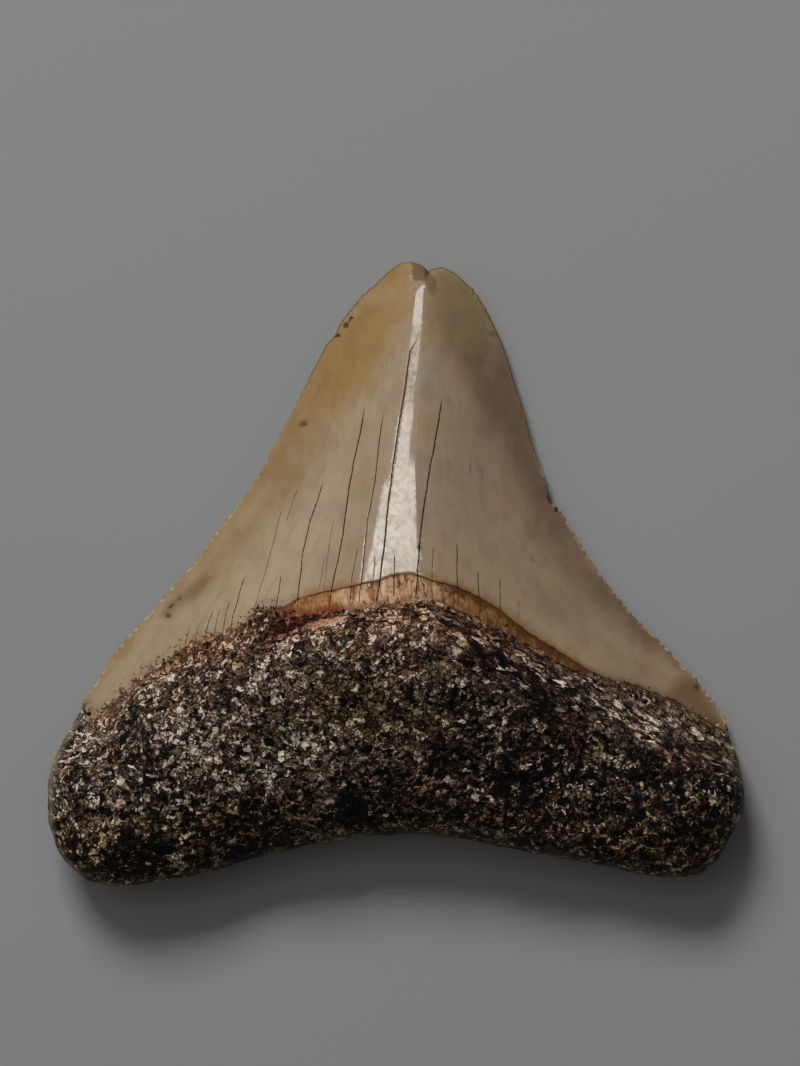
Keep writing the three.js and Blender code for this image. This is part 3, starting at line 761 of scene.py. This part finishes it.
bourlette = coat(bourlette, [
    (between(x_of, -6.0, -13.0, 0.0, 0.75), (170, 108, 48)),
    (between(x_of, 3.0, 12.0, 0.0, 0.85), (142, 98, 44)),
    (between(blotch, 0.5, 0.38, 0.0, 0.6), (96, 58, 30)),
    (times(splits, 0.85), (84, 46, 24)),
    (lower_share, (122, 54, 28)),
    (upper_share, (84, 52, 18)),
    (between(x_of, -15.5, -18.0, 0.0, 0.9), (116, 90, 66)),
    (between(x_of, 25.0, 31.0, 0.0, 0.8), (112, 84, 56)),
    (crack_share, (40, 22, 12)),
])

# Root: pale flakes with dark seams and gaps, drawn out along the enamel on the right side. The seams, the
# pores and the grains' pits are darkened partly as painted shade, over the bone's own dark.
BIG_FLAKES = 0.95
SMALL_FLAKES = 1.9
GAP_SHIFT = (17.0, 5.0, 9.0)
STREAK_MIDDLE = (27, -16, 0)
STREAK_TURN = (0, 0, math.radians(-25))
STREAK_STRETCH = (2.2, 0.85, 1)


def flakes(flow, scale):
    """A random tone for each flake, and how far a point is from its flake's middle."""
    made = put("TexVoronoi", {"Vector": flow, "Scale": scale})
    return put("SeparateColor", {0: made.outputs["Color"]}).outputs[0], made.outputs["Distance"]


def crust(place):
    """Bare bone as two colours: flakes, fine grain and curled edges, then gaps and the flakes' faces."""
    flow = drift(place, 0.9, 2.0, roughness=0.55)
    big_tone, _ = flakes(flow, BIG_FLAKES)
    small_tone, from_middle = flakes(flow, SMALL_FLAKES)
    big = between(maths("POWER", big_tone, 1.5), 0.0, 1.0, 0.15, 1.0)
    small = maths("ADD", times(small_tone, 0.8), 0.3)
    seam = put("TexVoronoi", {"Vector": flow, "Scale": BIG_FLAKES}, feature="DISTANCE_TO_EDGE").outputs[0]
    # Darker toward each flake's seam and rim: painted shade in the crevices between flakes
    face = times(between(seam, 0.02, 0.12), between(from_middle, 0.68, 0.48, 0.4, 1.0))
    fine = cloud(flow, 1.8, detail=3, roughness=0.6)
    curls = between(away(cloud(flow, 0.8, detail=1), 0.5), 0.035, 0.01)
    gap_place = put("VectorMath", {0: flow, 1: GAP_SHIFT}, operation="ADD").outputs[0]
    gap_noise = cloud(gap_place, 0.9, roughness=0.55)
    return (
        put("CombineColor", {0: times(big, small), 1: fine, 2: curls}).outputs[0],
        put("CombineColor", {0: gap_noise, 1: face}).outputs[0],
    )


drawn = put("Mapping", {
    "Vector": place, "Location": STREAK_MIDDLE, "Rotation": STREAK_TURN, "Scale": STREAK_STRETCH,
}, vector_type="TEXTURE").outputs[0]
drawn = put("Mapping", {"Vector": drawn, "Location": STREAK_MIDDLE, "Rotation": STREAK_TURN}).outputs[0]
streaky_socket = attribute("streaky")
flake_parts, gap_parts = (blend(streaky_socket, *pair) for pair in zip(crust(place), crust(drawn)))
flake, fine, curls = put("SeparateColor", {0: flake_parts}).outputs
gap_noise, face, _ = put("SeparateColor", {0: gap_parts}).outputs
patchy = cloud(place, 0.22, detail=4, roughness=0.6)
tone_socket = maths("ADD", attribute("root_tone"), swing(patchy, 0.6))
gap_level = maths("ADD", gap_noise, times(tone_socket, 0.25))
# More gaps toward the bottom: the root is darker there, partly painted shade where it turns away from the
# light
gap_level = maths("SUBTRACT", gap_level, between(y_of, -22.0, -33.0, 0.0, 0.05))
# Near-black pores: partly the bone's own dark, partly painted shade inside the pores
gaps = between(gap_level, 0.48, 0.42)
value = maths("ADD", times(flake, 1.05), 0.14)
for part, middle, weight in [
    (fine, 0.5, 0.9),
    (curls, 0.0, 0.2),
    # Grain height: tops painted lighter and pits painted darker, a painted light and painted shade
    (attribute("grain"), 0.4, 0.2),
    (tone_socket, 0.0, 0.8),
]:
    value = maths("ADD", value, swing(part, weight, middle))
# Seams and pores darken the flakes: painted shade in crevices and pores
value = times(value, between(face, 0.0, 1.0, 0.3, 1.0), rest_of(times(gaps, 0.9)))
root = ramp(value, [
    (0.0, (4, 3, 3)),
    (0.12, (24, 17, 13)),
    (0.26, (70, 54, 43)),
    (0.4, (116, 93, 74)),
    (0.55, (156, 132, 109)),
    (0.74, (204, 186, 164)),
    (0.95, (250, 240, 224)),
])
root = blend(1.0, root, attribute("root_stain", "Color"), "MULTIPLY")

# The rim is smoother and olive, its lighter colour partly painted bounce light from the floor, most of all
# on the left, where the upper edge is ragged with pale curls too. A pale ridge stands out below the red
# stain.
tint = cloud(place, 0.35, detail=3)
smooth_rim_and_bounce_light = times(
    between(maths("ADD", rim_socket, swing(fine, 2.5)), 1.5, 0.5),
    between(patchy, 0.44, 0.56, 0.25, 1.0),
    between(x_of, -36.0, -41.0, 0.3, 0.7),
)
left_share = between(x_of, -14.0, -19.0)
edge_curls = times(curls, between(root_socket, 1.4, 0.4, 0.0, 0.6), left_share)
pale_ridge = times(spot(near_place, (-9.9, -6.6), (2.8, 0.45), 12), between(fine, 0.4, 0.55, 0.35, 0.95))
root = coat(root, [
    (between(tint, 0.54, 0.7, 0.0, 0.5), (236, 216, 160), "MULTIPLY"),
    (between(tint, 0.46, 0.32, 0.0, 0.6), (236, 204, 208), "MULTIPLY"),
    # Smooth olive rim: partly the rim's own colour, partly painted light bounced up from the floor
    (smooth_rim_and_bounce_light, (152, 142, 116)),
    (edge_curls, (178, 142, 106)),
    (pale_ridge, (214, 162, 130)),
])

# The three meet: a dark line ends the enamel, and the root's flakes end raggedly
ragged = swing(fine, between(left_share, 0.0, 1.0, 6.0, 9.0))
ragged = maths("ADD", ragged, times(left_share, 0.25))
is_root = between(maths("ADD", root_socket, ragged), -0.1, 0.25)
end_line = times(
    between(away(enamel_socket, 0.0), 0.12, 0.03),
    between(stain_noise, 0.4, 0.55, 0.25, 0.75),
    between(left_share, 0.0, 1.0, 1.0, 0.2),
)
body = blend(between(enamel_socket, -0.04, 0.04), enamel, bourlette)
body = blend(is_root, body, root)
body = blend(end_line, body, colour(48, 30, 18))
tree.links.new(body, shader.inputs["Base Color"])
tree.links.new(between(enamel_socket, -0.05, 0.3, 0.35, 0.65), shader.inputs["Roughness"])

# Gloss: the enamel shines where it is polished, less where it is worn, mottled, cracked or chipped, and the
# faces of the root's flakes shine a little
worn = times(between(y_of, 23.0, 24.5), between(y_of, 36.2, 35.2), between(speckle, 0.35, 0.6, 0.75, 0.35))
polish = maths("ADD", attribute("polish"), times(swing(speckle, 2.4), between(x_of, 2.0, 0.0, 0.15, 1.0)))
smears = cloud(place, 0.8, detail=4, roughness=0.7, stretch=(1, 0.5, 1))
least_gloss = between(x_of, 1.5, -2.0, 0.75, 0.5)
gloss = times(
    between(enamel_socket, 0.1, -0.1),
    rest_of(is_root),
    between(crack_socket, 0.3, 0.02),
    rest_of(worn),
    between(polish, -0.15, 0.1, 0.3, 1.0),
    between(smears, 0.4, 0.55, 0.85, 1.0),
    between(speckle, 0.4, 0.56, least_gloss, 1.0),
    rest_of(maths("MAXIMUM", chip, tip_stain)),
)
gloss = maths("MAXIMUM", gloss, times(flake, face, is_root, 0.5))
tree.links.new(gloss, shader.inputs["Coat Weight"])
shader.inputs["Specular IOR Level"].default_value = 0.12
shader.inputs["Coat Roughness"].default_value = 0.08
shader.inputs["Coat IOR"].default_value = 1.8

# Relief too fine for the mesh
root_relief = cloud(place, 1.4, detail=3, roughness=0.6)
relief = times(root_relief, between(root_socket, -0.1, 0.4, 0.0, ROOT_RELIEF))
relief = maths("ADD", relief, times(streaks, STREAK_RELIEF))
relief = maths("ADD", relief, times(speckle, ENAMEL_RELIEF))
bump = put("Bump", {"Height": relief, "Distance": MM})
tree.links.new(bump.outputs[0], shader.inputs["Normal"])
tooth_mesh.materials.clear()
tooth_mesh.materials.append(material)

# The floor
# A plain pale sheet of matt paper under the tooth, wide enough to fill every view. It is the stage, and no
# part of the tooth.
FLOOR_SIZE = 3
FLOOR_GREY = 0.43

floor_shape = bmesh.new()
bmesh.ops.create_grid(floor_shape, x_segments=1, y_segments=1, size=FLOOR_SIZE)
floor_mesh = bpy.data.meshes.new("floor")
floor_shape.to_mesh(floor_mesh)
floor_shape.free()
floor_paint = bpy.data.materials.new("floor")
floor_paint.use_nodes = True
floor_shader = floor_paint.node_tree.nodes["Principled BSDF"]
floor_shader.inputs["Base Color"].default_value = (FLOOR_GREY, FLOOR_GREY, FLOOR_GREY, 1)
floor_shader.inputs["Roughness"].default_value = 0.9
floor_mesh.materials.append(floor_paint)
floor = bpy.data.objects.new("floor", floor_mesh)
bpy.context.scene.collection.objects.link(floor)

# The lights
# Plain soft studio light: a key and a softbox shade the tooth, three strips draw the shine along its ridge,
# and a dim grey surround fills the shadows.
SURROUND_GREY = 0.5
SURROUND_STRENGTH = 0.14


def add_light(name, tilt, turn, distance, size, energy):
    """A softbox tilted from straight above toward a compass turn, clockwise from the tip's direction."""
    data = bpy.data.lights.new(name, "AREA")
    data.shape = "RECTANGLE"
    data.size, data.size_y = size
    data.energy = energy
    light = bpy.data.objects.new(name, data)
    tilt, turn = math.radians(tilt), math.radians(turn)
    aim = Vector((math.sin(tilt) * math.sin(turn), math.sin(tilt) * math.cos(turn), math.cos(tilt)))
    light.location = aim * distance
    light.rotation_mode = "QUATERNION"
    light.rotation_quaternion = aim.to_track_quat("Z", "Y")
    bpy.context.scene.collection.objects.link(light)
    return light


# The strips show only as the shine, and leave the shading to the others
for strip in (
    add_light("base_strip", 16.5, 0, 0.8, (0.66, 0.1), 0.86),
    add_light("middle_strip", 23.5, 0, 0.8, (0.5, 0.1), 0.75),
    add_light("tip_strip", 44, 0, 0.8, (0.22, 0.49), 1.4),
):
    strip.visible_diffuse = False
key = add_light("key", 52, -20, 1.5, (0.6, 0.4), 13.0)
key.visible_glossy = False
add_light("left_softbox", 45, -60, 0.9, (1.0, 1.0), 1.0)
world = bpy.data.worlds.new("studio")
bpy.context.scene.world = world
world.use_nodes = True
surround = world.node_tree.nodes["Background"]
surround.inputs["Color"].default_value = (SURROUND_GREY, SURROUND_GREY, SURROUND_GREY, 1)
surround.inputs["Strength"].default_value = SURROUND_STRENGTH
bpy.context.scene.view_settings.view_transform = "Standard"

# The camera
# It looks straight down on the tooth through a long lens, and frames it as the photo does. The pixels are
# those of the photo's frame: its middle, and where the tooth's origin lies in it.
PIXELS_PER_MM = 7
FRAME_HEIGHT = 1066
MIDDLE_U, MIDDLE_V = 400, 533
ORIGIN_U, ORIGIN_V = 396.1, 574.7
OUTLINE_HEIGHT = 4
LENS = 200
SENSOR = 36

middle_x = (MIDDLE_U - ORIGIN_U) / PIXELS_PER_MM
middle_y = (ORIGIN_V - MIDDLE_V) / PIXELS_PER_MM
distance = FRAME_HEIGHT / PIXELS_PER_MM * LENS / SENSOR
camera_data = bpy.data.cameras.new("camera")
camera_data.lens = LENS
camera_data.sensor_width = SENSOR
camera = bpy.data.objects.new("camera", camera_data)
camera.location = Vector((middle_x, middle_y, OUTLINE_HEIGHT + distance)) * MM
bpy.context.scene.collection.objects.link(camera)
bpy.context.scene.camera = camera
